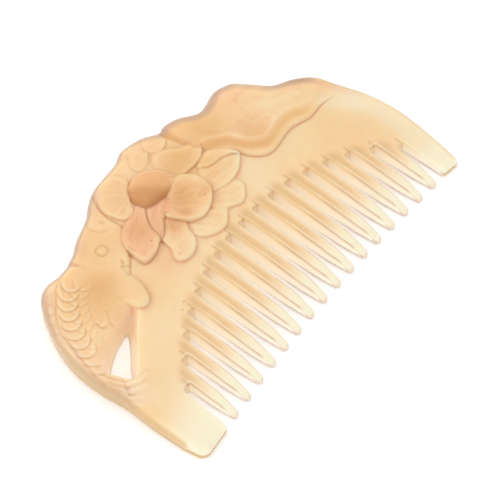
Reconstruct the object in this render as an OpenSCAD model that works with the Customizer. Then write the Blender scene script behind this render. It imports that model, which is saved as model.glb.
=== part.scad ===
// Stone scalp comb in one piece: a row of blunt teeth under a thick back, which is carved with
// a lotus flower, its leaf and a carp. All lengths are millimetres. x runs along the tooth row,
// y from the tips to the back and z up from the flat underside. The origin is the middle of
// the underside.

/* [Output] */
// Piece to show: all, back, guard_left, guard_right or tooth_01 to tooth_16

/* [Tooth row] */
// Number of teeth between the two guards
tooth_count = 16; // [10:1:20]
// Distance between tooth centres
tooth_pitch = 5.7; // [4:0.1:7]
// Width of a tooth at its root
tooth_width = 3.1; // [2:0.1:4]
// Width of a tooth where its nose starts
shoulder_width = 2.9; // [1.5:0.1:3]
// Length of the rounded nose of a tooth
nose_length = 7; // [3:0.5:10]
// Radius of the nose seen from above
nose_radius = 1.1; // [0.6:0.05:1.4]
// Height of the tip of a tooth
nose_height = 2.3; // [1:0.1:3]
// Middle of the tooth row along x
row_x = 2.2; // [-5:0.1:5]
// Tooth tips at the middle of the row
tip_y = -32.8; // [-36:0.1:-30]
// How much lower the tips are at the ends of the row
tip_arc = 2.4; // [0:0.1:4]
// Closed end of the gaps at the middle of the row
gap_y = -3; // [-8:0.1:4]
// How much lower the gaps close at the ends of the row
gap_arc = 18; // [6:0.5:22]
// Length of the stub that carries each tooth
stub = 0.6; // [0.3:0.1:1.5]
// Length of the saw nick past the end of each gap
nick_length = 2.6; // [0:0.1:5]

/* [Thickness] */
// Height of the front over the tips
tip_height = 2.6; // [1.5:0.1:4]
// Rise of the front for each millimetre towards the back
rise = 0.16; // [0.05:0.01:0.3]
// Height of the plain field
field_height = 7.6; // [5:0.1:9]
// Height of the carving over the field
relief = 1; // [0.4:0.1:1.5]
// Width of the rounded edge of the back
edge_width = 2.4; // [0.5:0.1:3]
// Height of the rounded edge of the back
edge_drop = 3.2; // [0.5:0.1:5]

/* [Carving] */
// Height of the bud over the underside
bud_height = 10.3; // [8:0.1:12]
// Radius of the bud
bud_radius = 6.1; // [4:0.1:7]
// Radius of a carp scale
scale_radius = 2.1; // [1:0.1:3]
// Distance between two rows of scales
row_step = 2.7; // [2:0.1:4]
// Radius of the eye ring
eye_radius = 1.9; // [1:0.1:3]
// Width of the carved lines
line_width = 0.8; // [0.4:0.1:1.5]

/* [Guards] */
// Corner radius of the left guard
left_corner = 2.6; // [1:0.1:4]
// Corner radius of the right guard
right_corner = 1.3; // [0.5:0.1:3]
// Lowest point of the left guard
left_tip_y = -35.9; // [-38:0.1:-33]
// Lowest point of the right guard
right_tip_y = -35.4; // [-38:0.1:-33]

/* [Hidden] */
STONE = [0.97, 0.83, 0.62];
PALE = [0.98, 0.9, 0.74];
gap_width = tooth_pitch - tooth_width;
half_row = tooth_count * tooth_pitch / 2;
front_height = field_height + relief;
// Longer than the comb in every direction.
far = 100;
// Thickness of the slices that a hull joins, and of the posts.
slice_depth = 0.1;
post = 0.02;
// Points on each stretch of a stacked outline, of the carving and of the carp's rows of scales.
outline_steps = 6;
carving_steps = 2;
spine_steps = 4;
// Angle between the facets of the rounded edge.
edge_facet = 22.5;
// How much of the curve of the gap ends bends only near the ends of the row.
gap_curl = 0.25;
// Share of a tooth's height where its upper corners begin, and of its width between them.
corner_share = 0.7;
crown_share = 0.6;
// The top of the nose is this many nose radii behind the tip, and this share of its radius.
nose_setback = 1.6;
nose_crown = 0.5;
// The saw nicks are this deep at the gap and run out at the other end.
nick_depth = 1.2;
nick_width = line_width / 2;
// The gill, and the line that follows the leaf's edge, are cut this wide.
wide_line = 1.5 * line_width;
// A scale's disc reaches this far down into the body and lifts by this angle at its tail side.
scale_root = 2.2;
scale_lift = 13;
scale_rows = 3;
scale_proud = 0.3;
// The tail, the back fin, the lip and the fold stand this much over the carving, and the front
// fin is dished by this much.
tail_lift = 0.4;
fin_lift = 0.3;
lip_lift = 0.5;
fold_lift = 0.4;
fin_dish = 0.4;
tail_rays = 5;
fin_rays = 4;
// How much deeper than half its width a line is cut.
line_sink = 0.07;
// The guards: where their outer corners end along x, the small inner corner's radius, and how
// much higher that corner lies than the lowest point.
guard_reach = 55.2;
inner_corner = 0.9;
guard_slope = 0.6;

// Columns of a point.
X = 0;
Y = 1;

// The edge of the comb, anticlockwise from the right guard over the back to the left guard,
// and the points far below that close it.
EDGE = [
    [54.8, -35], [56, -29.5], [56.8, -22], [56.9, -14], [55.6, -4.2], [53, 4.2],
    [50.6, 10.2], [46.7, 14], [41.6, 17], [38.1, 22], [35, 26.3], [29.8, 28.1],
    [25.2, 27.2], [22, 27.1], [17.8, 30.1], [13.2, 31.9], [10.9, 31.7], [6.8, 34.3],
    [0.5, 35.9], [-3.9, 34.6], [-9.3, 34.2], [-13.9, 33.7], [-18.2, 31.6], [-22.2, 29.1],
    [-28.4, 27], [-33.2, 24.6], [-38.6, 23.8], [-43.3, 24.4], [-46.8, 23.2], [-50, 19.4],
    [-53.9, 12.4], [-56.4, 4.6], [-57, -4], [-56.6, -12], [-56.8, -20], [-56, -30],
];
EDGE_CLOSE = [[-55.6, -55], [-55.4, -60], [0, -62], [54, -60], [54.2, -55]];

// The lower edge of the lotus leaf, from the flower to the right.
LEAF_EDGE = [
    [15, 14], [17.8, 9.4], [18.8, 6.4], [21, 4], [24.3, 2.7], [28, 2.7], [32, 3.4], [36, 2.6],
    [40.8, 1.7], [45, 1.7], [50, 2.6], [60, 4],
];
// The line cut inside that edge.
LEAF_LINE = [
    [14.9, 18.9], [17.8, 17.8], [20.9, 15.2], [22.4, 11.2], [24.8, 7.4], [27.8, 6.3],
    [31.7, 7.4], [35.5, 7.8], [40, 5.8],
];
// The rest of its outline: past the comb's edge, then down beside the flower.
LEAF_CLOSE = [[60, 60], [9.8, 60], [9.8, 29], [14, 20]];
LEAF_MIDDLE = [31.5, 14];
LEAF_VEINS = [
    [24, 17], [26, 22], [31, 24.5], [35.5, 20.5], [39.5, 14.5], [43, 11], [38, 10], [28, 10.5],
];

// The carp from above: its body and head, then the fins, the tail and the middle line of its
// outermost row of scales.
CARP = [
    [-15, 36], [-18.6, 28], [-19.4, 23], [-19.4, 18.6], [-22.8, 13.4], [-26.6, 10.6],
    [-30, 8.4], [-34.4, 6.4], [-39.6, 4.9], [-44.8, 3.2], [-49.2, 1.6], [-52.8, -2.2],
    [-53.8, -5.6], [-52.6, -9], [-54, -12.4], [-60, -12], [-64, 8], [-52, 32], [-32, 36],
];
FRONT_FIN = [
    [-27.4, 9.6], [-33, 7.4], [-36.2, 6.4], [-35.4, 3.4], [-33.4, 0.9], [-30.6, -0.4], [-28, 2.4],
];
BACK_FIN = [[-41.6, 22.2], [-46.6, 19.8], [-51, 13.9], [-53.5, 7.6]];
fin_width = 1.7;
TAIL = [
    [-54.6, -6.4], [-55.8, -12], [-51.4, -14.4], [-47.4, -14.8], [-44.4, -12], [-47.6, -9.8],
    [-51, -7.4],
];
SCALE_PATH = [[-37.6, 20.4], [-42.4, 19], [-47.2, 15], [-51.3, 10.2], [-53.3, 4.6], [-54.2, -1]];
// Rays of the front fin and of the tail: their common start, the first end and the step
// from one end to the next.
FIN_RAYS = [[-30.4, 7.6], [-34.2, 2.6], [1.7, -0.7]];
TAIL_RAYS = [[-51.5, -8.4], [-45.4, -12.2], [-2.2, -0.5]];
EYE = [-27.4, 19.3];
GILL = [[-35.2, 23.4], [-34, 20.2], [-32.4, 16.6], [-31.4, 13]];
LIPS = [[-23.8, 27.4], [-21.8, 25], [-20.4, 22.4]];
MOUTH = [-20.4, 24.8];
mouth_radius = 1;

// The opening beside the tail: its outline at the front and at the underside, and how far over
// the front its cut begins.
OPENING_FRONT = [[-36.6, 4], [-44.8, 2], [-49.1, 0.6], [-53, -3.6], [-49.4, -10], [-34.8, 1.5]];
OPENING_BACK = [[-39.8, 1.4], [-44.7, 0.4], [-49.2, -1.7], [-52.2, -4], [-49, -8], [-39.6, 1.1]];
opening_reach = 3;

// Petals. Columns: height of the rim, depth of the dish, outline.
TOP = 0;
DISH = 1;
OUTLINE = 2;
PETALS = [
    [8.4, 0.2, [[0.8, 34.4], [-2.8, 32.4], [-4.6, 28.6], [-0.1, 25.6], [3.4, 28.6], [3.6, 32.4]]],
    [8.5, 0.2, [[5, 33.8], [2.6, 30.8], [5, 27.6], [9.2, 26.4], [10.4, 29.6], [8.4, 32.2]]],
    [8.4, 0.4, [
        [8.2, 27], [2.6, 25.4], [1.8, 19.4], [8.8, 16.4], [13.6, 17.6], [14.8, 21], [11.4, 23.8],
    ]],
    [8.6, 0.8, [
        [-18.4, 29.4], [-19.4, 24.8], [-18.4, 20.6], [-11.4, 21.6], [-6, 27.6], [-7.6, 32.2],
        [-13, 32.6],
    ]],
    [8.3, 0.5, [[12.4, 7.6], [4.9, 9.6], [1.2, 3.2], [4.4, 0.7], [8, 0], [11.8, 1.8], [13.2, 5]]],
    [8.3, 0.5, [[3, 3.2], [-4.9, 7.2], [-9.4, 3.6], [-7, 1.3], [-2.2, -1.8], [1.6, 0]]],
    [8.4, 0.2, [[-9, 19.4], [-13.4, 16.6], [-15.6, 9.6], [-11, 10], [-5, 14.6]]],
    [8.9, 1, [
        [-9.6, 20], [-16.2, 21.2], [-20.7, 18.9], [-23.2, 14], [-23.2, 8.3], [-20, 7.1],
        [-15.6, 9.2], [-13.8, 13.6], [-11, 16.4],
    ]],
    [8.8, 0.8, [
        [-5.6, 11.4], [-11.4, 12.6], [-15.8, 10.1], [-16, 5.8], [-17.4, 2.2], [-15.8, 0.7],
        [-12.2, 0.7], [-8.2, 2.7], [-5.6, 6.2],
    ]],
    [9, 0.8, [
        [18, 9.4], [16, 13.4], [12.4, 16], [7.2, 17], [3.4, 13], [4, 8.2], [8, 6.6], [13.4, 6.3],
    ]],
    [9.3, 1, [
        [-4.4, 17.4], [-8, 12], [-6.2, 6.9], [-2, 4.6], [2.8, 6.2], [5.4, 10.4], [4.8, 15.8],
        [0.4, 18.8],
    ]],
];
// A petal's section from its outline inwards. Columns: share of the way to its middle, drop
// under its rim, share of its dish.
petal_base = 4;
INWARDS = 0;
DROP = 1;
DISHED = 2;
PETAL_SECTION = [[0, 1, 0], [0.1, 0.25, 0], [0.24, 0, 0], [0.5, 0, 0.6], [0.75, 0, 1]];
// The curled lip over the right petal and the smooth fold beside the leaf.
LIP = [[18, 10.4], [16.8, 14.2], [14.2, 16.6], [9.8, 16.8], [8.4, 15.6], [12.6, 14.4], [15.6, 12]];
FOLD = [
    [9.6, 28], [12, 24.4], [16, 20.6], [21.6, 20.4], [26.4, 24], [22, 25.6], [17.5, 28.2], [12.8, 30],
];
BUD = [-5.4, 21];
// The bud is the top of a ball that starts this far under the field.
bud_depth = 2;
// Parallel lines cut into petals. Columns: start and end of the first, how many, step to the
// next, height over the field.
FROM = 0;
TO = 1;
COUNT = 2;
STEP = 3;
LIFT = 4;
PETAL_RIBS = [
    [[-3.6, 8.4], [0.2, 13.6], 3, [1.8, -0.2], 0.8],
    [[7, 12.6], [14.6, 9.4], 2, [-0.4, -2], 0.7],
    [[-6.6, 3.6], [-1.8, 0.2], 3, [1.4, 1], 0.35],
    [[-16.2, 28.2], [-10.8, 28.6], 3, [0, -1.7], 0.35],
    [[-20.4, 16], [-19.4, 10.4], 2, [2.4, 0.8], 0.5],
];
// The bevel that falls from the field to the right shoulder.
SHOULDER_BEVEL = [[40, 1.5, 7.7], [58, 3, 4.2], [58.5, -16, 4.3], [54.5, -17, 5]];

function tooth_x(i) = row_x - half_row + (i + 0.5) * tooth_pitch;
function gap_x(j) = row_x - half_row + j * tooth_pitch;
function comb_outline() = concat(open_curve(EDGE, outline_steps), EDGE_CLOSE);
function arc(x) = pow((x - row_x) / half_row, 2);
function tip(i) = tip_y - tip_arc * arc(tooth_x(i));
// The gaps end on a curve that is flat in the middle and steep at the ends.
function gap_end(j) =
    let (a = arc(gap_x(j))) gap_y - gap_arc * ((1 - gap_curl) * a + gap_curl * a * a);
function guard_root(j) = gap_end(j) - stub;
function root(i) = min(gap_end(i), gap_end(i + 1)) - stub;
function front(y) = tip_height + rise * (y - left_tip_y);
function two_digits(n) = str(n < 10 ? "0" : "", n);
function tooth_name(i) = str("tooth_", two_digits(i + 1));

function unit(v) = v / norm(v);
function wrap(p, i) = p[(i + len(p)) % len(p)];
// Catmull-Rom curve from b to c, with a before and d after them.
function spline_point(a, b, c, d, t) =
    b + ((c - a) + ((2 * a - 5 * b + 4 * c - d) + (3 * b - a - 3 * c + d) * t) * t) * t / 2;
function closed_curve(p, steps) = [
    for (i = [0 : len(p) - 1]) for (k = [0 : steps - 1])
        spline_point(wrap(p, i - 1), p[i], wrap(p, i + 1), wrap(p, i + 2), k / steps)
];
function open_curve(p, steps) = let (last = len(p) - 1) [
    for (i = [0 : last - 1]) for (k = [0 : steps - (i == last - 1 ? 0 : 1)])
        spline_point(p[max(i - 1, 0)], p[i], p[i + 1], p[min(i + 2, last)], k / steps)
];
function mean(v) = v * [for (value = v) 1] / len(v);
function inward(p, i) = let (t = unit(wrap(p, i + 1) - wrap(p, i - 1))) [-t[Y], t[X]];
function every_other(p, start) = [for (i = [start : 2 : len(p) - 1]) p[i]];

// A solid whose sections all follow one anticlockwise outline. Each row of sections holds
// how far that section lies inside the outline, the share of the way from there to the
// outline's centre, and the height. The first two sections take every other point of the
// outline, the third the points between them, and so on in turn.
module stacked(outline, sections) {
    n = len(outline) / 2;
    centre = [for (axis = [X, Y]) mean([for (q = outline) q[axis]])];
    shift = [for (k = [0 : len(sections) - 1]) k == 0 ? 0 : (k + 1) % 2];
    points = [
        for (k = [0 : len(sections) - 1]) for (i = [0 : n - 1])
            let (
                s = sections[k],
                j = 2 * i + shift[k],
                q = outline[j] + s[0] * inward(outline, j),
                r = q + s[1] * (centre - q)
            )
                [r[X], r[Y], s[2]]
    ];
    sides = [
        for (k = [0 : len(sections) - 2]) for (i = [0 : n - 1])
            let (a = k * n + i, b = k * n + (i + 1) % n)
                each shift[k + 1] > shift[k]
                    ? [[a, a + n, b], [b, a + n, b + n]]
                    : [[a, a + n, b + n], [a, b + n, b]]
    ];
    bottom = [for (i = [0 : n - 1]) i];
    top = [for (i = [n - 1 : -1 : 0]) (len(sections) - 1) * n + i];
    polyhedron(points, concat([bottom, top], sides), convexity = 8);
}

// The comb's whole outline with its rounded front edge, up to a height.
module blank(height) {
    stacked(comb_outline(), [
        [0, 0, 0],
        for (a = [0 : edge_facet : 90]) [edge_width * (1 - cos(a)), 0, height - edge_drop * (1 - sin(a))],
    ]);
}

// Everything under the sloping front, which lift raises.
module under_front(lift) {
    flat_y = left_tip_y + (field_height - tip_height) / rise;
    rotate([90, 0, 90])
        translate([0, 0, -far])
            linear_extrude(2 * far)
                polygon([
                    [-far, -slice_depth], [far, -slice_depth], [far, field_height + lift],
                    [flat_y, field_height + lift], [-far, front(-far) + lift],
                ]);
}

// Plan of the back: stubs where the teeth and guards start, and between them the closed gaps.
module back_plan() {
    half = gap_width / 2;
    polygon(concat(
        [[far, far], [-far, far], [-far, guard_root(0)]],
        [
            for (j = [0 : tooth_count]) each [
                [gap_x(j) - half, j == 0 ? guard_root(0) : root(j - 1)],
                [gap_x(j) - half, gap_end(j)],
                [gap_x(j) + half, gap_end(j)],
                [gap_x(j) + half, j == tooth_count ? guard_root(j) : root(j)],
            ]
        ],
        [[far, guard_root(tooth_count)]]
    ));
}

// A raised field of the carving inside a plan outline, flush with the comb's rounded edge.
module raised(plan) {
    intersection() {
        blank(front_height);
        under_front(relief);
        linear_extrude(far) polygon(plan);
    }
}

// A cut line that follows points, sunk by a little over half its width into a surface that
// lies a given height over the field.
module line(points, lift, width = line_width) {
    for (i = [0 : len(points) - 2])
        hull()
            for (q = [points[i], points[i + 1]])
                translate([q[X], q[Y], min(field_height, front(q[Y])) + lift - line_sink])
                    sphere(d = width, $fn = 6);
}

// The ground plate, with the bevel that falls to the right shoulder.
module plate() {
    difference() {
        intersection() {
            blank(field_height);
            under_front(0);
        }
        hull()
            for (q = SHOULDER_BEVEL)
                translate(q) cylinder(h = far, d = post, $fn = 3);
    }
}

module leaf() {
    difference() {
        raised(concat(open_curve(LEAF_EDGE, carving_steps), LEAF_CLOSE));
        line(open_curve(LEAF_LINE, carving_steps), relief, wide_line);
        for (v = LEAF_VEINS)
            line([LEAF_MIDDLE + (v - LEAF_MIDDLE) / 4, v], relief);
    }
    petal(FOLD, front_height + fold_lift, 0);
    petal(LIP, front_height + lip_lift, 0);
}

// A rounded rim of a given height round a dished middle.
module petal(outline, top, dish) {
    stacked(closed_curve(outline, outline_steps), [
        [0, 0, petal_base],
        for (s = PETAL_SECTION) [0, s[INWARDS], top - s[DROP] - s[DISHED] * dish],
    ]);
}

module flower() {
    difference() {
        for (p = PETALS) petal(p[OUTLINE], p[TOP], p[DISH]);
        for (ribs = PETAL_RIBS)
            for (k = [0 : ribs[COUNT] - 1])
                line([ribs[FROM] + k * ribs[STEP], ribs[TO] + k * ribs[STEP]], ribs[LIFT]);
    }
    translate([BUD[X], BUD[Y], field_height - bud_depth])
        scale([1, 1, (bud_height - field_height + bud_depth) / bud_radius])
            sphere(bud_radius, $fn = 26);
}

// Cut lines that fan out from one point, set by a row of start, first end and step.
module rays(fan, count, lift) {
    for (k = [0 : count - 1])
        line([fan[0], fan[1] + k * fan[2]], lift);
}

// One scale: a thin disc that lifts towards the tail.
module fish_scale(place, heading, height) {
    translate([place[X], place[Y], height + scale_proud])
        rotate([0, 0, heading])
            rotate([0, -scale_lift, 0])
                translate([0, 0, -scale_root])
                    cylinder(h = scale_root, r = scale_radius, $fn = 12);
}

module carp() {
    spine = open_curve(SCALE_PATH, spine_steps);
    difference() {
        raised(closed_curve(CARP, carving_steps));
        line(open_curve(GILL, carving_steps), relief, wide_line);
        line(open_curve(LIPS, carving_steps), relief);
        translate([MOUTH[X], MOUTH[Y], front_height])
            sphere(mouth_radius, $fn = 10);
        translate([EYE[X], EYE[Y], front_height])
            difference() {
                sphere(eye_radius, $fn = 16);
                sphere(eye_radius - line_width, $fn = 16);
            }
    }
    for (row = [0 : scale_rows - 1])
        for (i = [1 + row % 2 : 2 : len(spine) - 2]) {
            way = unit(spine[i + 1] - spine[i - 1]);
            place = spine[i] + row * row_step * [-way[Y], way[X]];
            fish_scale(place, atan2(way[Y], way[X]), min(field_height, front(place[Y])) + relief);
        }
    line(open_curve(BACK_FIN, carving_steps), relief + fin_lift - fin_width / 2, fin_width);
    difference() {
        petal(FRONT_FIN, front_height, fin_dish);
        rays(FIN_RAYS, fin_rays, relief - fin_dish / 2);
    }
    difference() {
        intersection() {
            petal(TAIL, front_height, 0);
            under_front(relief + tail_lift);
        }
        rays(TAIL_RAYS, tail_rays, relief + tail_lift);
    }
}

// The tapered opening between the carp's body and the plate.
module opening() {
    hull() {
        translate([0, 0, front_height]) linear_extrude(opening_reach) polygon(OPENING_FRONT);
        translate([0, 0, -slice_depth]) linear_extrude(slice_depth) polygon(OPENING_BACK);
    }
}

// The saw ran a little past the end of each gap, along its right side.
module saw_nicks() {
    for (j = [0 : tooth_count])
        translate([gap_x(j) + gap_width / 2 - 2 * nick_width, gap_end(j) - nick_width, 0])
            hull() {
                translate([0, 0, min(field_height, front(gap_end(j))) - nick_depth])
                    cube([nick_width, slice_depth, far]);
                translate([0, nick_length, field_height])
                    cube([nick_width, slice_depth, far]);
            }
}

module back() {
    color(STONE)
        difference() {
            intersection() {
                union() {
                    plate();
                    leaf();
                    carp();
                    flower();
                }
                linear_extrude(far) back_plan();
            }
            opening();
            saw_nicks();
        }
}

// An upright slice across a tooth, with its upper corners cut back to a share of the width.
module slice(x, y, width, height, share) {
    side = width / 2;
    corner = corner_share * height;
    translate([x, y, 0])
        rotate([90, 0, 0])
            linear_extrude(slice_depth)
                polygon([
                    [-side, 0], [side, 0], [side, corner],
                    [share * side, height], [-share * side, height], [-side, corner],
                ]);
}

// A blunt tooth: square at the root, where it meets its stub, and round at the nose.
module tooth(i) {
    x = tooth_x(i);
    shoulder_y = tip(i) + nose_length;
    color(PALE)
        hull() {
            slice(x, root(i), tooth_width, front(root(i)), 1);
            slice(x, shoulder_y, shoulder_width, front(shoulder_y), crown_share);
            translate([x, tip(i) + nose_radius, 0])
                cylinder(h = nose_height / 2, r = nose_radius, $fn = 16);
            translate([x, tip(i) + nose_setback * nose_radius, 0])
                cylinder(h = nose_height, r = nose_crown * nose_radius, $fn = 12);
        }
}

// A guard: the end of the comb beyond the last gap, blunt and as thick as the teeth.
module guard(gap, side, corner, low_y) {
    inner_x = gap_x(gap) + side * gap_width / 2;
    outer_x = side * far;
    color(STONE)
        intersection() {
            linear_extrude(far)
                intersection() {
                    polygon(every_other(comb_outline(), 0));
                    hull() {
                        translate([inner_x + side * inner_corner, low_y + inner_corner + guard_slope])
                            circle(inner_corner, $fn = 24);
                        translate([side * guard_reach - side * corner, low_y + corner])
                            circle(corner, $fn = 32);
                        translate([min(inner_x, outer_x), guard_root(gap) - slice_depth])
                            square([abs(outer_x - inner_x), slice_depth]);
                    }
                }
            under_front(0);
        }
}
module guard_left() guard(0, -1, left_corner, left_tip_y);
module guard_right() guard(tooth_count, 1, right_corner, right_tip_y);

back();
guard_left();
guard_right();
for (i = [0 : tooth_count - 1])
    tooth(i);
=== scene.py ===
import math

import bpy
import numpy as np
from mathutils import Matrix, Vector, geometry, kdtree


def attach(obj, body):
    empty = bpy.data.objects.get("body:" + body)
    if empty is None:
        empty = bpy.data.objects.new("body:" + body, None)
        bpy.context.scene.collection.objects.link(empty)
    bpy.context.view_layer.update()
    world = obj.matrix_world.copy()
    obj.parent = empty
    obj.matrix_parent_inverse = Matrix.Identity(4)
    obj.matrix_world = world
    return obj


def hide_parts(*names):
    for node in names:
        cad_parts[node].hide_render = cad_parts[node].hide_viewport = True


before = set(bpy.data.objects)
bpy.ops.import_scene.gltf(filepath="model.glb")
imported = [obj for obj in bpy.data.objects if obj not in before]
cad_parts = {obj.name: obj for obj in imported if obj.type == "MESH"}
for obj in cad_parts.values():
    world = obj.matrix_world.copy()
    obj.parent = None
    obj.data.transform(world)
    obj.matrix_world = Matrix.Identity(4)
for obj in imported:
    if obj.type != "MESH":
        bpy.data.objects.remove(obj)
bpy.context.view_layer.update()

# The blank. One slab of honey yellow chalcedony is sawn to the comb's outline, ground to a wedge
# that thins towards the teeth, and its outer edge is rounded over. x runs along the tooth row,
# y from the tips to the back and z up from the flat underside. Lengths are millimetres here.
EDGE = [
    (54.8, -35), (56, -29.5), (56.8, -22), (56.9, -14), (55.6, -4.2), (53, 4.2), (50.6, 10.2),
    (46.7, 14), (41.6, 17), (38.1, 22), (35, 26.3), (29.8, 28.1), (25.2, 27.2), (22, 27.1),
    (17.8, 30.1), (13.2, 31.9), (10.9, 31.7), (6.8, 34.3), (0.5, 35.9), (-3.9, 34.6),
    (-9.3, 34.2), (-13.9, 33.7), (-18.2, 31.6), (-22.2, 29.1), (-28.4, 27), (-33.2, 24.6),
    (-38.6, 23.8), (-43.3, 24.4), (-46.8, 23.2), (-50, 19.4), (-53.9, 12.4), (-56.4, 4.6),
    (-56.9, -4), (-56.2, -12), (-56.3, -20), (-55.8, -30),
]
SHOULDER = [
    (40, 3.5), (43.7, -2.5), (46.1, -6.3), (47.5, -9.6), (48, -14.5), (47.6, -21), (46.5, -28),
]
SHOULDER_CLOSE = [(49, -45), (70, -45), (70, 30), (40, 30)]
tip_height = 2.6
low_y = -35.9
rise = 0.16
field_height = 7.6
knee = 2
shoulder_drop = 1.3
shoulder_reach = 8
shoulder_most = 1.3
shoulder_pale = 0.5
edge_spacing = 0.45
carving = []


class Stone:
    """The front of the stone: places in plan, height over the underside, and colour layers, some of them
    painted light and painted shade.
    """

    def __init__(self, x, y):
        self.x, self.y = x, y
        self.z = np.zeros(len(x))
        # Besides the stone's own tints, these layers hold painted shade, painted light and a painted
        # glow.
        self.stains = {name: np.zeros(len(x)) for name in (
            "painted_shade", "rose", "amber_and_painted_shade", "honey_and_painted_shade", "painted_tan_shade", "pale_and_painted_light", "painted_wall_light", "painted_rim_shade", "painted_dusk_shade", "painted_glow")}

    def near(self, line, margin):
        """The places inside a line's box, grown by a margin, and their x and y."""
        lo, hi = np.min(line, axis=0) - margin, np.max(line, axis=0) + margin
        in_x = (self.x > lo[0]) & (self.x < hi[0])
        places = np.flatnonzero(in_x & (self.y > lo[1]) & (self.y < hi[1]))
        return places, self.x[places], self.y[places]

    def stain(self, name, amount, places=slice(None)):
        """Tints places, where they aren't tinted more already."""
        self.stains[name][places] = np.maximum(self.stains[name][places], amount)

    def patches(self, table):
        """Soft round stains. Columns: stain, middle, reach, strength."""
        for name, middle, size, amount in table:
            self.stain(name, amount * bell(reach(self.x, self.y, middle) / size))


def curve(points, steps=6, closed=True):
    """A smooth line through the points."""
    p = np.array(points, float)
    last = len(p) - 1
    sweep = []
    for i in range(len(p) if closed else last):
        a, b, c, d = (p[k % len(p)] if closed else p[min(max(k, 0), last)] for k in range(i - 1, i + 3))
        for t in np.arange(steps) / steps:
            bend = (2 * a - 5 * b + 4 * c - d) + (3 * b - a - 3 * c + d) * t
            sweep.append(b + ((c - a) + bend * t) * t / 2)
    return np.array(sweep if closed else sweep + [p[last]])


def open_line(points, step):
    """A smooth line from the first point to the last, in even steps."""
    return spaced(curve(points, closed=False), step, closed=False)


def closed_by(edge, corners):
    """A smooth edge, closed through some corners."""
    return np.vstack([curve(edge, closed=False), corners])


def spaced(line, step, closed=True):
    """The same line with its points an even step apart."""
    ends = np.vstack([line, line[:1]]) if closed else np.array(line, float)
    along = np.concatenate([[0], np.cumsum(np.hypot(*np.diff(ends, axis=0).T))])
    places = np.linspace(0, along[-1], max(2, round(along[-1] / step)) + 1)
    if closed:
        places = places[:-1]
    return np.stack([np.interp(places, along, ends[:, k]) for k in (0, 1)], axis=1)


def reach(x, y, centre):
    """How far places lie from a centre."""
    return np.hypot(x - centre[0], y - centre[1])


def distance(x, y, line, limit, closed=True):
    """How far places lie from a line, up to a limit."""
    best = np.full(len(x), float(limit))
    ends = np.vstack([line, line[:1]]) if closed else line
    stretch = 12
    for start in range(0, len(ends) - 1, stretch):
        part = ends[start:start + stretch + 1]
        lo, hi = part.min(axis=0) - limit, part.max(axis=0) + limit
        near = np.flatnonzero((x > lo[0]) & (x < hi[0]) & (y > lo[1]) & (y < hi[1]))
        px, py = x[near], y[near]
        for (ax, ay), (bx, by) in zip(part, part[1:]):
            ux, uy = bx - ax, by - ay
            t = np.clip(((px - ax) * ux + (py - ay) * uy) / max(ux * ux + uy * uy, 1e-12), 0, 1)
            best[near] = np.minimum(best[near], np.hypot(px - ax - t * ux, py - ay - t * uy))
    return best


def within(x, y, line):
    """Which places lie inside a closed line."""
    odd = np.zeros(len(x), bool)
    for (ax, ay), (bx, by) in zip(line, np.roll(line, -1, axis=0)):
        if ay != by:
            odd ^= ((ay > y) != (by > y)) & (x < ax + (bx - ax) * (y - ay) / (by - ay))
    return odd


def depth_in(x, y, line, limit):
    """How far places lie inside a closed line: less than nothing outside it."""
    gap = distance(x, y, line, limit)
    return np.where(within(x, y, line), gap, -gap)


def ease(t):
    """Smooth step from 0 to 1."""
    t = np.clip(t, 0, 1)
    return t * t * (3 - 2 * t)


def ramp(value, start, end):
    """Smooth step from 0 where the value is at the start to 1 where it is at the end."""
    return ease((value - start) / (end - start))


def bell(t):
    """A soft bump: 1 at 0, and next to nothing beyond 2 on either side."""
    return np.exp(-t * t)


def softened(first, second, soft):
    """What rounds the crease where two heights meet."""
    return np.maximum(soft - np.abs(first - second), 0) ** 2 / (4 * soft)


def grind_blank(stone):
    """The wedge, and a bevel that falls to the right edge."""
    wedge = tip_height + rise * (stone.y - low_y)
    stone.z = np.minimum(wedge, field_height) - softened(wedge, field_height, knee)
    shoulder = closed_by(SHOULDER, SHOULDER_CLOSE)
    deep = depth_in(stone.x, stone.y, shoulder, shoulder_most * shoulder_reach)
    size = np.clip(stone.z / field_height, 0, 1)
    stone.z -= shoulder_drop * size * np.clip(deep / shoulder_reach, 0, shoulder_most)
    stone.stain("pale_and_painted_light", shoulder_pale * ramp(deep, 0, 5) * ramp(stone.y, 7, -1))


outer = open_line(EDGE, edge_spacing)
carving.append(grind_blank)

# The teeth. Sixteen blunt teeth are sawn between two guards, and the saw ran a little past the
# end of each gap. The walls are polished, the corners just broken and the noses rounded. Near
# its root each tooth has painted shade in tan on the left and painted light in cream at the right,
# and painted light makes its thin tip cream.
tooth_count = 16
tooth_pitch = 5.7
gap_width = 2.6
row_x = 2.2
half_row = tooth_count * tooth_pitch / 2
row_left = row_x - half_row
gaps = [row_left + j * tooth_pitch for j in range(tooth_count + 1)]
tip_y = -32.8
tip_arc = 2.4
gap_y = -3
gap_arc = 18
gap_curl = 0.25
nose_radius = 0.95
nose_length = 7
shoulder_half = 1.45
root_half = (tooth_pitch - gap_width) / 2
root_corner = 0.7
nose_droop = 0.02
nose_low = 0.75
wall_spacing = 0.45
corner_radius = 0.3
nose_rounding = 0.5
left_corner = (-52.6, -33.3, 2.6)
left_inner = (-45.6, -34.4, 0.9)
right_inner = (50, -33.9, 0.9)
right_corner = (53.9, -34.1, 1.3)
nick_lead = 0.3
nick_length = 2.4
nick_depth = 0.8
nick_half = 0.25
nick_place = gap_width / 2 - 0.5
nick_shade = 0.45
root_reach = 3.2
root_shade = 0.9
root_light = 0.6
tip_light = 0.8
guard_glow = 0.25
drawn_lines = []


def rounded(t):
    """Quarter of a circle from 0 up to 1."""
    return np.sqrt(1 - (1 - np.clip(t, 0, 1)) ** 2)


def bow(x):
    """How far a place is from the middle of the row: 0 there and 1 at either end."""
    return ((x - row_x) / half_row) ** 2


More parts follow.
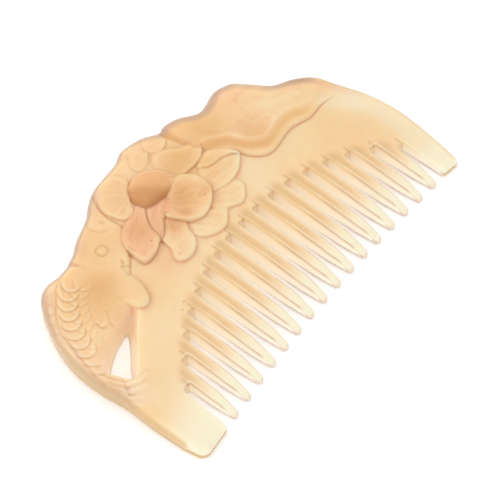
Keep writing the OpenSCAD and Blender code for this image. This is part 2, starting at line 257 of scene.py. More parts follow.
def in_row(x):
    """Which places lie between the two guards."""
    return np.abs(x - row_x) < half_row


def tip_line(x):
    """The shallow arc that the tips follow."""
    return tip_y - tip_arc * bow(x)


def gap_end(x):
    """The deeper arc that the ends of the gaps follow."""
    return gap_y - gap_arc * ((1 - gap_curl) * bow(x) + gap_curl * bow(x) ** 2)


def arc(circle, start, end, step=12):
    """Points on a circle of x, y and radius, from one angle to another in degrees."""
    turn = np.radians(np.linspace(start, end, abs(end - start) // step + 1))
    return np.array(circle[:2]) + circle[2] * np.stack([np.cos(turn), np.sin(turn)], axis=1)


def half_width(up):
    """Half the width of a tooth at a distance from its tip."""
    nose = nose_radius * rounded(up / nose_radius)
    taper = np.interp(up, [nose_radius, nose_length], [nose_radius, shoulder_half])
    return np.where(up < nose_radius, nose, taper)


def tooth_side(x, root_y, side):
    """One side of a tooth, from its tip to its root."""
    low = float(tip_line(x))
    nose = nose_radius * (1 - np.cos(np.radians(np.arange(0, 90, 9))))
    up = np.concatenate([nose, np.arange(nose_radius, nose_length, wall_spacing)])
    points = np.stack([x + side * half_width(up), low + up], axis=1)
    start = (x + side * shoulder_half, low + nose_length)
    return np.vstack([points, spaced([start, (x + side * root_half, root_y)], wall_spacing, False)])


def guard_side(x, low, root_y):
    """The straight side of a guard, without its ends."""
    return spaced([(x, low), (x, root_y)], wall_spacing, False)[1:-1]


def gap_root(x):
    """The closed end of a gap, from left to right."""
    half, end = gap_width / 2, gap_end(x)
    left = arc((x - half + root_corner, end - root_corner, root_corner), 180, 90, 15)
    right = arc((x + half - root_corner, end - root_corner, root_corner), 90, 0, 15)
    return np.vstack([left, right])


def nick(gap_x):
    """Where a saw nick starts, at the end of a gap."""
    return np.array([gap_x + nick_place, float(gap_end(gap_x))])


cut = [arc(left_corner, 200, 270), arc(left_inner, 270, 360)]
for gap_x in gaps:
    root_y = gap_end(gap_x) - root_corner
    if gap_x == gaps[0]:
        cut.append(guard_side(gap_x - gap_width / 2, left_inner[1], root_y))
    else:
        cut.append(tooth_side(gap_x - tooth_pitch / 2, root_y, 1)[1:-1])
    cut.append(gap_root(gap_x))
    if gap_x == gaps[-1]:
        cut.append(guard_side(gap_x + gap_width / 2, right_inner[1], root_y)[::-1])
    else:
        cut.append(tooth_side(gap_x + tooth_pitch / 2, root_y, -1)[-2::-1])
    for shift in (-nick_half, 0, nick_half):
        run = nick(gap_x) + [(shift, nick_lead), (shift, nick_length)]
        drawn_lines.append(spaced(run, nick_half, False))
cut += [arc(right_inner, 180, 270), arc(right_corner, 270, 354)]
cut = np.vstack(cut)
outer = outer[(outer[:, 1] > right_corner[1] + 0.3) | (outer[:, 0] < 0)]
rim = np.vstack([outer, cut])
on_outer = np.arange(len(rim)) < len(outer)


def across_tooth(x, y):
    """Place across a tooth, -1 at its left edge to 1 at its right, and distance from its tip."""
    up = y - tip_line(x)
    centre = row_left + (np.floor((x - row_left) / tooth_pitch) + 0.5) * tooth_pitch
    return (x - centre) / np.maximum(half_width(np.clip(up, 0, nose_length)), 0.3), up


def cut_teeth(stone):
    """Noses bend down to the tips, painted shade and painted light run along them, and the saw nicks run
    out with painted shade in them.
    """
    across, up = across_tooth(stone.x, stone.y)
    toothed = in_row(stone.x)
    stone.z -= np.where(toothed, nose_droop * np.clip(nose_length - up, 0, nose_length) ** 2, 0)
    short = np.clip((gap_end(stone.x) - stone.y) / root_reach, -1, 1)
    to_root = ramp(up, 5, 12) * ramp(short, -1, 0)
    # Painted shade along the left of each tooth near its root, painted light along its right, painted
    # light on the thin tips and a painted glow on the guards' tips.
    left_shade = root_shade * to_root * bell((across + 0.35) / 1.1)
    right_light = root_light * to_root * ease(short) * bell((across - 1.2) / 0.6)
    tip = ramp(up, 18, 5)
    stone.stain("painted_tan_shade", np.where(toothed, left_shade, 0))
    stone.stain("pale_and_painted_light", tip_light * tip)
    stone.stain("pale_and_painted_light", np.where(toothed, right_light, 0))
    stone.stain("painted_glow", np.where(toothed, 0, guard_glow) * tip)
    for gap_x in gaps:
        start = nick(gap_x)
        places, x, y = stone.near([start, start + (0, nick_length)], 0.6)
        run = 1 - (y - start[1]) / nick_length
        across = np.clip(1 - np.abs(x - start[0]) / nick_half, 0, 1)
        notch = np.where(run > 0, np.minimum(run, 1), 0) * across
        stone.z[places] -= nick_depth * notch
        # Painted shade in each saw nick.
        stone.stain("painted_shade", nick_shade * notch, places)


# The opening. Beside the carp's tail the stone is pierced. The opening tapers to a narrower slot
# at the underside: a long rounded slope on the carp's side, a steep wall on the other.
OPENING_FRONT = [
    (-36.4, 3.4), (-40, 3.2), (-44.8, 1.9), (-49.1, 0.6), (-52.4, -2), (-53.1, -4.6), (-51.4, -8),
    (-49.2, -9.9), (-44.6, -6.6), (-39.6, -2.6), (-35.2, 1.4),
]
OPENING_BACK = [
    (-39.8, 1.4), (-41.6, 1.1), (-44.7, 0.4), (-49.2, -1.7), (-51.6, -3.6), (-52, -5), (-50.8, -6.6),
    (-48.9, -7.7), (-46, -5.2), (-43, -2.6), (-40, 0.4),
]
hole_count = 120
slope_radius = 2.8
steep_radius = 0.35
slope_blend = 40
slope_pale = 0.2
edge_glow = 0.6


def leftward(line):
    """Unit vectors to the left of a closed line."""
    along = np.roll(line, -1, axis=0) - np.roll(line, 1, axis=0)
    along /= np.maximum(np.hypot(*along.T), 1e-9)[:, None]
    return np.stack([-along[:, 1], along[:, 0]], axis=1)


def nearest_on(x, y, line):
    """The number of the line's point that lies nearest to each place."""
    return np.argmin(np.hypot(x[:, None] - line[:, 0], y[:, None] - line[:, 1]), axis=1)


def even_count(points, count):
    """A closed curve through the points, in a number of even steps."""
    line = curve(points, 12)
    return spaced(line, np.hypot(*np.diff(np.vstack([line, line[:1]]), axis=0).T).sum() / count)


def pierce(stone):
    """Rounds the front edge of the opening, widely on the carp's side, and paints light along that edge
    as if shining through the stone.
    """
    places, x, y = stone.near(hole_front, slope_radius)
    gap = distance(x, y, hole_front, slope_radius)
    slope = hole_slope[nearest_on(x, y, hole_front)]
    size = steep_radius + (slope_radius - steep_radius) * slope
    stone.z[places] -= size * np.clip(1 - gap / size, 0, 1) ** 2
    stone.stain("pale_and_painted_light", slope_pale * slope * ramp(gap, slope_radius, 0), places)
    # Painted light along the edge of the opening.
    stone.stain("painted_glow", edge_glow * ramp(gap, size, 0), places)


hole_front = even_count(OPENING_FRONT, hole_count)[::-1]
hole_back = even_count(OPENING_BACK, hole_count)[::-1]
hole_away = leftward(hole_front)
hole_slope = ease(hole_away[:, 1] * 1.5)
for _ in range(slope_blend):
    hole_slope = (np.roll(hole_slope, 1) + hole_slope + np.roll(hole_slope, -1)) / 3

# The leaf. A lotus leaf lies over the right of the back, carved in low relief: a rolled rim, a
# crest that follows it, a curled middle and soft veins. The stone is orange honey under it.
LEAF_EDGE = [
    (14.5, 15), (18, 10.9), (18.6, 9.1), (19.5, 6.8), (21.1, 4.7), (23.3, 3.4), (26.2, 3.3),
    (29.9, 3.8), (32.7, 3.9), (35.7, 3.1), (38, 2.2), (40.4, 2), (43.6, 2.4), (46.5, 2.1),
    (51.5, 1.3), (60, 1),
]
LEAF_CLOSE = [(60, 60), (9.8, 60), (9.8, 29), (12, 20)]
LEAF_CREST = [
    (13.5, 20.3), (16.4, 19), (18.5, 17.3), (20.6, 15.6), (21.7, 13.1), (22.7, 10.9), (24.4, 9.2),
    (26.2, 7.9), (28.9, 8), (32.2, 8.5), (35.6, 8.4), (38.1, 7.3), (40.4, 6), (44.5, 6), (48, 6.6),
]
CREST_CLOSE = [(70, 60), (9, 60)]
LEAF_CURL = [
    (21.2, 18.1), (24.3, 17.1), (26.6, 16.3), (27.3, 14.6), (27.5, 12.9), (29.5, 12.5), (31.7, 11.8),
    (32.7, 10.5), (32.6, 9.1),
]
LEAF_CUP = [(29.6, 10.6), (28.4, 11), (27, 10.6)]
LEAF_FOLDS = [
    [(29.9, 26.2), (27.5, 25), (24.8, 24.2), (21.3, 24.5)],
    [(29.8, 17.7), (29.2, 15.9)],
    [(34.8, 17.1), (37.4, 13.7)],
    [(37.4, 13.7), (40.3, 12.6), (43, 11.3), (46.4, 9.8)],
    [(31, 21), (34.6, 21.6), (37, 19)],
]
LEAF_HEART = (25.5, 10.5)
LEAF_TIP = (51, 9)
LEAF_PATCHES = [
    ("honey_and_painted_shade", LEAF_HEART, 6, 0.6), ("honey_and_painted_shade", (18, 22), 8, 0.85), ("rose", (30, 24), 6, 0.2),
    ("amber_and_painted_shade", LEAF_HEART, 4.5, 0.35), ("amber_and_painted_shade", (26, 12.5), 5, 0.3),
]
carved_areas = []
relief = 1
leaf_round = 1.1
crest_high = 0.15
valley_low = 0.3
valley_place = -2.2
wave_high = 0.14
tip_curl = 0.9
tip_reach = 5
leaf_foot_shade = 0.35
foot_outside = 0.05
foot_inside = 0.16


def inward(line):
    """Unit vectors to the inside of a closed line, whichever way round it runs."""
    left = leftward(line)
    return left if within(*(line[:1] + 0.01 * left[:1]).T, line)[0] else -left


def both_sides(line):
    """A closed line drawn twice, just outside and just inside a foot."""
    return [line - foot_outside * inward(line), line + foot_inside * inward(line)]


def groove(stone, lines, half, depth, tint=0, fade=0.3):
    """Cuts lines that fade at their ends: soft ridges where the depth is below 0. The tint is painted
    shade laid in the groove.
    """
    for points in lines:
        line = curve(points, closed=False)
        places, x, y = stone.near(line, 3 * half)
        gap = distance(x, y, line, 3 * half, closed=False)
        cut_in = ramp(reach(x, y, line[-1]), 0, fade) * bell(gap / half)
        stone.z[places] -= depth * cut_in
        # Painted shade in the groove.
        stone.stain("painted_shade", tint * cut_in, places)


def carve_leaf(stone):
    """Raises the leaf, its crest and its waves, stains the band below the crest, curls the tip."""
    places, x, y = stone.near(leaf_foot, 1)
    deep = depth_in(x, y, leaf_foot, 12)
    end = ramp(x, 50, 42) * ramp(x, 10, 17)
    lift = relief * rounded(deep / leaf_round)
    ridge = depth_in(x, y, closed_by(LEAF_CREST, CREST_CLOSE), 7)
    lift += crest_high * bell(ridge / 1.1) - valley_low * ramp(ridge, 0, 3)
    lift -= 0.1 * bell((ridge - valley_place) / 1.2)
    waves = np.sin(0.62 * x + 0.35 * y) * np.sin(0.21 * x - 0.5 * y + 1)
    lift += wave_high * waves * ramp(ridge, 0, 2)
    foot = bell(np.minimum(deep, 0) / 0.3)
    stone.z[places] += end * np.where(deep > 0, lift, -0.2 * foot)
    # Painted shade along the leaf's foot.
    stone.stain("painted_shade", leaf_foot_shade * end * foot * (deep <= 0), places)
    band = bell((ridge - valley_place) / 2.2) * (deep > 0)
    stone.stain("honey_and_painted_shade", 0.85 * band * ramp(x, 45, 37), places)
    stone.stain("amber_and_painted_shade", 0.4 * band * ramp(x, 30, 22), places)
    # A painted highlight along the crest.
    stone.stain("pale_and_painted_light", 0.12 * bell(ridge / 0.4) * end * (deep > 0), places)
    stone.z += tip_curl * bell(reach(stone.x, stone.y, LEAF_TIP) / tip_reach)
    groove(stone, [LEAF_CURL], 0.8, -0.2)
    groove(stone, [LEAF_CUP], 1.5, -0.2)
    groove(stone, LEAF_FOLDS, 0.8, 0.14, 0.08, 2)
    stone.patches(LEAF_PATCHES)


leaf_foot = closed_by(LEAF_EDGE, LEAF_CLOSE)
drawn_lines += both_sides(spaced(leaf_foot, 0.35))
carved_areas.append(leaf_foot)
carving.append(carve_leaf)

# The lotus. Cupped petals overlap round a smooth round bud. Each has a rounded rim with a steep
# foot, darkened by painted shade, on the side of the teeth, melts into its neighbour on the other side,
# and is scored with fine streaks that fan out from its root. The stone round the bud runs to rose and
# amber.
# Columns: rim and root height, depth of the dish, where it grows, streaks, rose, outline.
PETALS = [
    (8.4, 8, 0.4, (-8, 24), 9, 0.1, [
        (-6.5, 27.8), (-6.7, 30.6), (-8.6, 32.4), (-11.4, 32.8), (-14.4, 31.6), (-16.8, 29.2),
        (-17.9, 26.4), (-17.7, 23.6), (-17, 21.4), (-15.6, 20), (-13, 20.4), (-11, 23)]),
    (8.2, 7.8, 0.3, (-1, 26), 0, 0.15, [
        (0.3, 33.4), (2.5, 33), (3.8, 31.2), (3.5, 29), (1.7, 27.4), (-0.5, 26.6), (-2.5, 27),
        (-3, 29.1), (-1.7, 31.6)]),
    (8.1, 7.7, 0.2, (1, 27), 0, 0.1, [
        (5.4, 33.2), (3.6, 30.6), (4.4, 27.8), (7.4, 26.6), (9.8, 28.2), (9.7, 30.8), (8, 32.4)]),
    (8.5, 7.9, 0.5, (-2, 22), 0, 0.1, [
        (5, 27.6), (7.4, 26), (9.7, 23.6), (11.9, 22.6), (13.9, 22), (14.3, 20.3), (13.2, 18.4),
        (11, 17.2), (8.8, 16.8), (6.2, 17), (3.2, 17.4), (1, 19), (0.4, 23), (2, 26.8)]),
    (8.8, 8.2, 0, (6, 17), 0, 0, [
        (7.8, 15.9), (9.2, 17), (11.2, 17.4), (13.6, 17.1), (15.8, 15.7), (17.6, 13.4), (18.2, 11.2),
        (18, 9.4), (16.6, 11.2), (13.9, 12.6), (11.5, 13), (9.4, 13.8)]),
    (8.6, 8, 0.6, (-1, 12), 8, 0, [
        (7.8, 15.3), (9.4, 13.8), (11.3, 13.3), (13.7, 12.9), (15.4, 12.2), (16.9, 10.8), (17.8, 9.5),
        (16, 8), (14.1, 6.9), (12.1, 6.3), (9, 6.2), (6.4, 7), (4, 8.5), (4.6, 12.6)]),
    (8.2, 7.8, 0.3, (-2, 10), 12, 0.05, [
        (4.7, 9.6), (7, 8), (9.6, 7.4), (11.4, 6.2), (11.6, 3.6), (9.7, 1.3), (7.5, 0), (5.8, 0),
        (4, 1.2), (1.8, 2.2), (0.8, 4.3), (0.8, 7)]),
    (8.3, 7.8, 0.35, (-8, 10), 12, 0.05, [
        (-6.4, 7.3), (-3.4, 6.8), (-0.5, 6), (1.7, 4.6), (2.8, 2.2), (0.6, 0.1), (-1.5, -1.2),
        (-4.6, -0.8), (-7.3, 0.8), (-8.6, 2.9), (-8.1, 5)]),
    (8.6, 7.9, 0.55, (-8, 15), 5, 0.15, [
        (-8.2, 13.6), (-7.6, 11), (-6.4, 8.8), (-7.2, 7.4), (-8.5, 5.3), (-9.1, 3.4), (-10.5, 1.6),
        (-12.1, 0.7), (-14.2, 0.2), (-16, 0.5), (-17.5, 1.8), (-17.4, 3.4), (-15.9, 5.6),
        (-15.5, 7.7), (-14.9, 9.8), (-12.4, 11), (-10.4, 12.8)]),
    (8.5, 8, 0.3, (-5, 19), 9, 0.8, [
        (-11, 18.6), (-9, 18.2), (-6.4, 17.6), (-4, 16.4), (-5.2, 13.6), (-7.4, 12.7), (-9.7, 12.8),
        (-11.6, 11.2), (-13.8, 9.6), (-15.9, 9.3), (-15.6, 11.6), (-14.6, 14.2), (-12.8, 16.7)]),
    (9.1, 8.3, 0.8, (-9, 23), 9, 0.7, [
        (-10.6, 20.8), (-12.6, 21.2), (-15.9, 20), (-19.5, 19.1), (-21.5, 17.8), (-22.8, 15.4),
        (-23.3, 13.4), (-23.5, 11.2), (-23.6, 9.3), (-23.2, 8), (-21.6, 7.6), (-19.1, 7.9), (-17, 8.7),
        (-15.1, 9.9), (-14.5, 11.4), (-14.3, 13.2), (-13.4, 15.1), (-12, 17), (-10.3, 18.8)]),
    (9.3, 8.3, 1.1, (-7, 17), 10, 0.1, [
        (-1, 18.8), (1.6, 18.4), (3.9, 16.9), (5.5, 14.2), (5.6, 11.2), (4.6, 8.6), (2.5, 6.6),
        (-0.6, 5.2), (-3.2, 4.9), (-5, 5.7), (-6.6, 6.9), (-8, 9.3), (-8.8, 11.3), (-8.8, 13.3),
        (-6.2, 15.4), (-3.4, 17)]),
]
BUD = [
    (-9.2, 25.6), (-6.5, 27), (-3.7, 27), (-1.5, 25.8), (1, 23.1), (2.4, 19.4), (1.6, 17.2),
    (-1.4, 16.9), (-4.2, 17), (-6.7, 17.3), (-9.2, 17.8), (-10.6, 18.7), (-10.9, 20.6), (-10.7, 23),
]
BUD_MIDDLE = (-4.2, 21.8)
BUD_HALF = (7.6, 6)
bud_round = 1.6
bud_low = 7.4
bud_high = 10.25
bud_low_shade = 0.8
crevice_deep = 0.25
crevice_shade_strength = 0.6
petal_wall = 0.3
petal_round = 0.5
petal_foot = 0.17
petal_dish = 0.5
petal_melt = 0.4
petal_sink = 0.5
streak_depth = 0.05
foot_step = 0.3
small_step = 0.16
pit_deep = 0.25
pit_shade = 0.7
FLOWER_MARKS = [
    [(-8.5, 9.4), (-9.5, 6.5), (-11.7, 5), (-13.6, 5.5), (-13.5, 7.9), (-11.6, 9.8)],
    [(6.8, 25.5), (9.3, 22.9), (11.1, 21.2), (10.9, 19.5), (8.9, 18.9), (6.5, 19.4)],
    [(-1.4, 31), (0.8, 31.4), (1.8, 29.8), (0.4, 28.6), (-0.8, 29.2)],
    [(-12, 22), (-16, 20.4), (-19.5, 15.8), (-21, 11.4)],
    [(-9, 18.4), (-11.2, 16.6), (-13, 13.6), (-14.6, 11)],
    [(-6, 16.6), (-8.6, 15.6), (-11.2, 13.4)],
]
PETAL_SEAMS = [
    [(-10.3, 18.8), (-12, 17), (-13.4, 15.1), (-14.3, 13.2), (-14.6, 11.4), (-15.2, 9.9), (-16, 8.4)],
    [(-8.4, 13.5), (-10.4, 12.8), (-12.3, 11), (-14.8, 9.8), (-15.8, 8)],
]
SCRATCHES = [
    [(-22.5, 14.1), (-22.6, 12)], [(-23.2, 13.7), (-23.5, 11.7)], [(-23.7, 13.1), (-23.9, 11.3)],
]
PITS = [
    (1.9, 8.7, 0.3), (0.7, 9.3, 0.22), (1.6, 10, 0.18), (-17.5, 10.9, 0.2), (-18.6, 9.6, 0.16),
    (-25.6, -6.3, 0.26), (-27.6, -7.5, 0.2), (-15.9, 2.8, 0.18),
]
FLOWER_PATCHES = [
    ("amber_and_painted_shade", (-5.6, 9.4), 2.6, 0.75), ("amber_and_painted_shade", (-9.6, 9.6), 3.4, 0.65),
    ("amber_and_painted_shade", (-2.6, 13), 3.8, 0.55), ("amber_and_painted_shade", (-14, 14), 5, 0.35),
    ("amber_and_painted_shade", (-16.2, 15.6), 4.5, 0.5), ("amber_and_painted_shade", (3.8, 9.2), 2.6, 0.45),
    ("rose", (-12.5, 14), 5, 0.42), ("rose", (-18, 4), 5, 0.3), ("honey_and_painted_shade", (-1, 12), 6.5, 0.85),
    ("honey_and_painted_shade", (6, 20), 7, 0.95), ("honey_and_painted_shade", (11, 14), 6, 0.75), ("honey_and_painted_shade", (-13, 26), 6, 0.55),
]
FLOWER_AREA = [
    (-19, 32), (-24.5, 14), (-24.5, 7), (-18, 0), (-8, -2.5), (8, -1.5), (19, 8), (15, 20), (10, 34),
    (0, 36),
]


def lay_petal(stone, rim_height, root_height, dish, grows, streaks, rose, outline):
    """Lays one petal over what is carved so far, wherever it stands higher."""
    line = curve(outline, 8)
    places, x, y = stone.near(line, 1)
    z = stone.z[places]
    deep = depth_in(x, y, line, 8)
    turn = np.arctan2(y - grows[1], x - grows[0])
    out = reach(x, y, grows)
    far = ease(out / out[deep > 0].max() * 1.3)
    top = root_height + (rim_height - root_height) * far - petal_wall * (1 - rounded(deep / petal_round))
    hollow = ease((deep - 0.6 * petal_round) / (0.6 * max(deep.max(), 1)))
    wander = 0.9 * np.sin(5 * turn + rim_height) + 0.5 * np.sin(1.3 * out)
    streak = np.sin(streaks * 2 * turn + wander) + 0.5 * np.sin(streaks * 5.3 * turn - wander)
    streak *= ramp(out, 0, 5) * ramp(deep, 0, 1.2) * (streaks > 0)
    top -= petal_dish * dish * hollow - streak_depth * streak
    into = inward(line)[nearest_on(x, y, line)]
    low_side = ease(0.45 + 0.4 * into[:, 0] + 0.95 * into[:, 1])
    top -= petal_sink * (1 - low_side) * ramp(deep, 1.8, 0)
    covered = (deep > 0) & (top > z)
    melt = softened(top, z, petal_melt) * ramp(deep, 0, 0.6)
    # Painted shade in the foot on the petal's low side, away from the light.
    foot = bell(deep / petal_foot) * (deep <= 0) * low_side * ramp(far, 0.25, 0.75)
    stone.z[places] = np.where(covered, top, z - 0.1 * foot) + melt
    stone.stains["painted_shade"][places[covered]] *= ramp(deep[covered], 0.15, 0)
    stone.stain("painted_shade", np.where(covered, 0, foot * (0.12 + 0.88 * rose)), places)
    stone.stain("rose", np.where(covered, rose * (1 - 0.35 * far), 0), places)
    # The honey tint along the rim on the low side is painted shade.
    stone.stain("honey_and_painted_shade", np.where(covered, 0.3 * bell((deep - 0.3) / 0.4) * far * low_side, 0), places)


def carve_flower(stone):
    """The petals one over the other, their small marks and seams, and pits in the stone, with painted
    shade in the seams and the pits.
    """
    for petal in PETALS:
        lay_petal(stone, *petal)
    groove(stone, FLOWER_MARKS, 0.5, -0.1, 0, 1.5)
    groove(stone, PETAL_SEAMS, 0.22, 0.12, 0.75)
    groove(stone, SCRATCHES, 0.16, 0.12, 0.8)
    for x, y, size in PITS:
        places, px, py = stone.near([(x, y)], 3 * size)
        pit = bell(reach(px, py, (x, y)) / size)
        stone.z[places] -= pit_deep * pit
        # Painted shade in the pit.
        stone.stain("painted_shade", pit_shade * pit, places)


def carve_bud(stone):
    """Sets the bud among the petals, with painted shade on its low side and in the crevice there, and
    tints the flower.
    """
    line = curve(BUD)
    places, x, y = stone.near(line, 1)
    z = stone.z[places]
    deep = depth_in(x, y, line, bud_round + 1)
    across = np.hypot((x - BUD_MIDDLE[0]) / BUD_HALF[0], (y - BUD_MIDDLE[1]) / BUD_HALF[1])
    dome = bud_low + (bud_high - bud_low) * rounded(1 - across) * rounded(deep / bud_round)
    ball = (dome > z) & (deep > 0)
    low_side = ease(0.5 - (x - BUD_MIDDLE[0]) / 9 - (y - BUD_MIDDLE[1]) / 12)
    crevice = bell(np.clip(z - dome, 0, 4) / 0.5) * bell(np.minimum(deep, 0) / 0.3)
    crevice *= 0.15 + 0.85 * low_side
    soft = 0.1 + 0.9 * (1 - low_side)
    melt = softened(dome, z, soft) * ramp(deep, 0, 0.6)
    stone.z[places] = np.where(ball, dome, z - crevice_deep * crevice) + melt
    for name in ("painted_shade", "rose", "pale_and_painted_light", "honey_and_painted_shade"):
        stone.stains[name][places[ball]] = 0
    shown = ramp(dome - z, 0, 0.1 + 1.4 * soft)
    # Painted shade on the bud's low side and in the crevice round it, where the amber tint is painted
    # shade too.
    ball_shade = bud_low_shade * ease(2.2 * low_side - 1.3) * ease(1.4 - deep / 3.5)
    crevice_shade = crevice_shade_strength * crevice * ramp(x, 1, -3)
    stone.stain("painted_shade", np.where(ball, ball_shade, crevice_shade), places)
    stone.stain("amber_and_painted_shade", np.where(ball, (0.22 + 0.6 * low_side ** 2) * shown, 0.4 * crevice), places)
    stone.stain("honey_and_painted_shade", np.where(ball, 0.6 + 0.2 * low_side, 0), places)
    stone.stain("rose", np.where(ball, 0.35 * (1 - low_side) * shown, 0), places)
    stone.patches(FLOWER_PATCHES)


for petal in PETALS:
    drawn_lines += both_sides(spaced(curve(petal[-1], 8), foot_step))
drawn_lines += [open_line(line, small_step) for line in SCRATCHES]
drawn_lines += [arc((x, y, size * ring), 0, 330, 30) for x, y, size in PITS for ring in (0.6, 1.2, 2)]
drawn_lines += both_sides(spaced(curve(BUD), foot_step))
carved_areas.append(even_count(FLOWER_AREA, 60))
carving += [carve_flower, carve_bud]

# The carp. It curls round the left of the back, its head to the lotus and its tail beside the
# opening. A smooth fin runs along the edge from a crisp line, and the body beside it has rows of
# scales that fade out to a smooth honey flank. The tail ends in soft rays.
CARP = [
    (-15, 36), (-17.6, 29), (-18.6, 24.6), (-18.4, 20), (-20.6, 16), (-23.6, 13), (-25.8, 11),
    (-29.4, 8.4), (-33, 5.6), (-38.6, -0.5), (-46, -3.6), (-51, -6.6), (-53, -9.6), (-55.4, -13),
    (-60, -12), (-64, 8), (-52, 32), (-32, 36),
]
BACK_FIN = [
    (-34.6, 21.2), (-36.3, 22.3), (-39.2, 22.3), (-43, 21.1), (-45.6, 18.8), (-49, 16), (-51, 13.6),
    (-52.5, 10.6), (-53.3, 7.1), (-54.2, 3.9), (-55, 1.1), (-55.7, -2), (-56.2, -5.8),
]
FIN_CLOSE = [(-64, -6), (-64, 30), (-36, 32)]
FRONT_FIN = [
    (-35.1, 8), (-35.5, 5.8), (-35.3, 4.2), (-34.6, 2.4), (-33.9, 0.9), (-32.6, 0.1), (-31.2, 0.4),
    (-30.2, 1.3), (-29.3, 2.8), (-28.5, 4.6), (-28, 7), (-28.2, 9.2), (-29.4, 11), (-31.6, 12),
    (-34, 11),
]
TAIL_RAYS = [
    [(-55.8, -3.6), (-54.4, -7.6), (-52.5, -9.8), (-49.9, -11.1), (-47.4, -11.7), (-45.4, -13.2)],
    [(-56.2, -6.4), (-55, -9.8), (-53, -11.8), (-50.4, -13), (-48, -13.6)],
    [(-56.4, -9), (-55.6, -11.8), (-54, -13.6), (-51.4, -15)],
    [(-56.6, -12), (-55.7, -14), (-54.8, -15.8), (-54.2, -18.4)],
    [(-56.8, -14.4), (-56, -17), (-55.8, -19.6), (-56.2, -23)],
]
SCALE_PATH = [
    (-36.8, 19.6), (-41.6, 18), (-45.4, 14.9), (-48.6, 11), (-50.8, 6.6), (-52.3, 2), (-53.4, -3),
]
FIN_HOOKS = [
    [(-46, 21.4), (-47.6, 20.2), (-47.4, 18.8)], [(-48, 19.6), (-49.6, 18.2), (-49.2, 16.9)],
    [(-49.8, 17.6), (-51.4, 16), (-50.8, 14.9)], [(-51.6, 14.8), (-52.8, 13), (-52, 12.2)],
]
SMALL_FINS = [
    [(-40.2, 7), (-41.4, 5.2), (-42.1, 4), (-41.5, 2.6)], [(-44.6, 6.2), (-44.8, 4.6), (-43.2, 3.9)],
]
GILL = [(-35.6, 23), (-34.4, 21.4), (-33.9, 19.6), (-33.4, 17.4)]
LIPS = [(-24.2, 26.4), (-24.1, 24.2), (-22.9, 22.5), (-20.9, 21.9)]
MOUTH = (-20.6, 24.4)
EYE = (-27.4, 19)
BARBEL = [(-26.4, 13.4), (-28, 11.4), (-28.7, 8.7), (-28.9, 4.6), (-28.8, 1.2)]
CROSS = [[(-26.4, 12.9), (-27.8, 10.9)], [(-26, 10.6), (-28.4, 12.3)]]
CARP_PATCHES = [
    ("honey_and_painted_shade", (-31, 5), 4.5, 0.45), ("honey_and_painted_shade", (-38.5, 11), 8.5, 0.85), ("honey_and_painted_shade", (-27, 20), 8, 0.55),
    ("amber_and_painted_shade", (-35.5, 12.5), 4, 0.25), ("pale_and_painted_light", (-53, -12.5), 4, 0.45),
]
carp_round = 1.7
crown_reach = 7
crown_drop = 0.35
carp_foot_shade = 0.55
fin_drop = 0.3
fin_line_shade = 0.5
scale_radius = 2.6
scale_pitch = 2.9
row_step = 2.7
scale_fade = (0.9, 0.4, 0.12)
scale_proud = 0.22
scale_shadow = 0.5
scale_highlight = 0.3
eye_ring = 1.45
eye_ring_shade = 0.3
mouth_deep = 0.25
mouth_shade = 0.25
fin_shift = (0.5, 0.4)
ray_shift = (0.75, 0.55)


def beside(lines, shift):
    """The same lines, moved a little."""
    return [np.array(line) + shift for line in lines]


def carve_scales(stone):
    """Overlapping scales in rows, the first beside the fin and the rest fainter, each with painted
    shadow and painted highlight.
    """
    path = open_line(SCALE_PATH, scale_pitch / 2)
    for row, strength in enumerate(scale_fade):
        for i in range(2 - row % 2, len(path) - 1, 2):
            way = path[i + 1] - path[i - 1]
            way = way / np.hypot(*way)
            centre = path[i] + row * row_step * np.array([-way[1], way[0]])
            places, x, y = stone.near([centre], scale_radius + 0.6)
            along = ((x - centre[0]) * way[0] + (y - centre[1]) * way[1]) / scale_radius
            edge = 1 - reach(x, y, centre) / scale_radius
            lip = np.clip(1 - edge, 0, 1) ** 3 * ramp(edge, 0, 0.12)
            foot = bell((edge + 0.04) / 0.09)
            shown = strength * ease((along + 0.25) * 1.4)
            stone.z[places] += scale_proud * shown * (lip - 0.8 * foot)
            # A painted shadow at the foot of each scale and a painted highlight inside its rim.
            stone.stain("painted_shade", scale_shadow * shown * foot, places)
            stone.stain("pale_and_painted_light", scale_highlight * shown * bell((edge - 0.2) / 0.14), places)


def carve_carp(stone):
    """The raised body, the flat fin along its back, the scales and the small fins."""
    outline = curve(CARP, 4)
    places, x, y = stone.near(outline, 1)
    deep = depth_in(x, y, outline, 12)
    flower = stone.z[places] > field_height + 0.3
    crown = crown_drop * (1 - rounded(deep / crown_reach))
    foot = bell(np.minimum(deep, 0) / 0.3) * (deep <= 0) * ramp(y, -2, 2)
    lift = np.where(deep > 0, relief * rounded(deep / carp_round) - crown, -0.15 * foot)
    stone.z[places] += np.where(flower, 0, lift)
    # Painted shade at the foot of the raised body.
    stone.stain("painted_shade", np.where(flower, 0, carp_foot_shade * foot), places)
    fin = closed_by(BACK_FIN, FIN_CLOSE)
    places, x, y = stone.near(fin, 2)
    deep = depth_in(x, y, fin, 3)
    stone.z[places] -= fin_drop * ramp(deep, -0.45, 0.05) - 0.12 * bell((deep + 1) / 0.6)
    # Painted shade along the line where the fin drops.
    stone.stain("painted_shade", fin_line_shade * bell((deep + 0.12) / 0.16), places)
    stone.stain("pale_and_painted_light", 0.15 * ramp(deep, 0, 0.6), places)
    carve_scales(stone)
    groove(stone, FIN_HOOKS, 0.35, 0.18, 0.3)
    groove(stone, SMALL_FINS, 0.28, 0.24, 0.45, 0.8)
    groove(stone, beside(SMALL_FINS, fin_shift), 0.4, -0.25, 0, 0.8)


